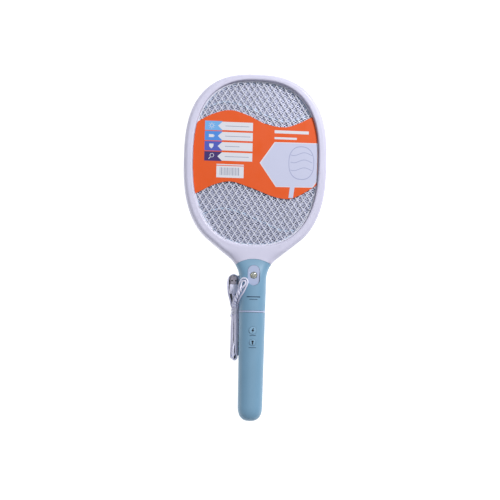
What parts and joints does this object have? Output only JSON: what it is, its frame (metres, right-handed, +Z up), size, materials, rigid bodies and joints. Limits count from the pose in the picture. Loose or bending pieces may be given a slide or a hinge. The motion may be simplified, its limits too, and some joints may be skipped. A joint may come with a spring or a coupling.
{
  "type": "electric fly swatter",
  "caption": "Racket-shaped rechargeable insect zapper with three mesh layers behind guards, a round grip with two push buttons, a lamp, a display card and a tied charging lead.",
  "frame": {"origin": "on the surface it lies on, under the middle of the racket", "axes": "+Y along the handle to the top of the head, +Z up through the front face, +X to the right seen from the front"},
  "size_m": [0.216, 0.52, 0.0378],
  "materials": {
    "white_plastic": "satin",
    "guard_plastic": "satin",
    "blue_plastic": "satin",
    "carrier_plastic": "satin",
    "mesh_metal": "bright",
    "steel": "zinc plated",
    "card_print": "printed",
    "button_plastic": "matte",
    "dark_plastic": "matte",
    "board_laminate": "satin",
    "copper_winding": "enamelled",
    "capacitor_film": "gloss",
    "cell_wrap": "gloss",
    "clear_lens": "clear",
    "led_epoxy": "gloss",
    "cord_jacket": "satin",
    "lead_positive": "satin"
  },
  "bodies": {
    "racket": {"head_frame_front": "white_plastic", "head_frame_rear": "white_plastic", "front_guard": "guard_plastic", "rear_guard": "guard_plastic", "mesh_carrier_front": "carrier_plastic", "mesh_carrier_rear": "carrier_plastic", "front_mesh": "mesh_metal", "centre_mesh": "mesh_metal", "rear_mesh": "mesh_metal", "label_card": "card_print", "frame_screw_1": "steel", "frame_screw_2": "steel", "frame_screw_3": "steel", "frame_screw_4": "steel", "frame_screw_5": "steel", "frame_screw_6": "steel", "neck_front": "blue_plastic", "neck_rear": "blue_plastic", "collar_ring": "white_plastic", "coupling_sleeve": "dark_plastic", "grip_front": "blue_plastic", "grip_rear": "blue_plastic", "handle_screw_1": "steel", "handle_screw_2": "steel", "handle_screw_3": "steel", "lamp_plate": "white_plastic", "lamp_lens": "clear_lens", "lamp_led_1": "led_epoxy", "lamp_led_2": "led_epoxy", "lamp_board": "board_laminate", "zap_switch": "dark_plastic", "light_switch": "dark_plastic", "circuit_board": "board_laminate", "step_up_transformer": "copper_winding", "storage_capacitor": "capacitor_film", "battery_cell": "cell_wrap", "battery_contact_positive": "steel", "battery_contact_negative": "steel", "charging_socket": "dark_plastic", "mesh_lead_positive": "lead_positive", "mesh_lead_negative": "dark_plastic", "charging_cord_hank": "cord_jacket", "charging_cord_plug_end": "cord_jacket", "charging_cord_left_loop": "cord_jacket", "charging_cord_right_loop": "cord_jacket", "cord_twist_tie": "white_plastic", "usb_plug_shell": "steel", "usb_plug_grip": "cord_jacket", "charging_plug_grip": "cord_jacket", "charging_plug_barrel": "steel"},
    "zap_key": {"zap_button": "button_plastic"},
    "light_key": {"light_button": "button_plastic"}
  },
  "joints": [
    {"name": "zap_button_press", "type": "slide", "parent": "racket", "child": "zap_key", "axis": [0, 0, -1], "range_m": [0, 0.0012], "stiffness_N_per_m": 400, "springref_m": -0.002},
    {"name": "light_button_press", "type": "slide", "parent": "racket", "child": "light_key", "axis": [0, 0, -1], "range_m": [0, 0.0012], "stiffness_N_per_m": 400, "springref_m": -0.002}
  ]
}
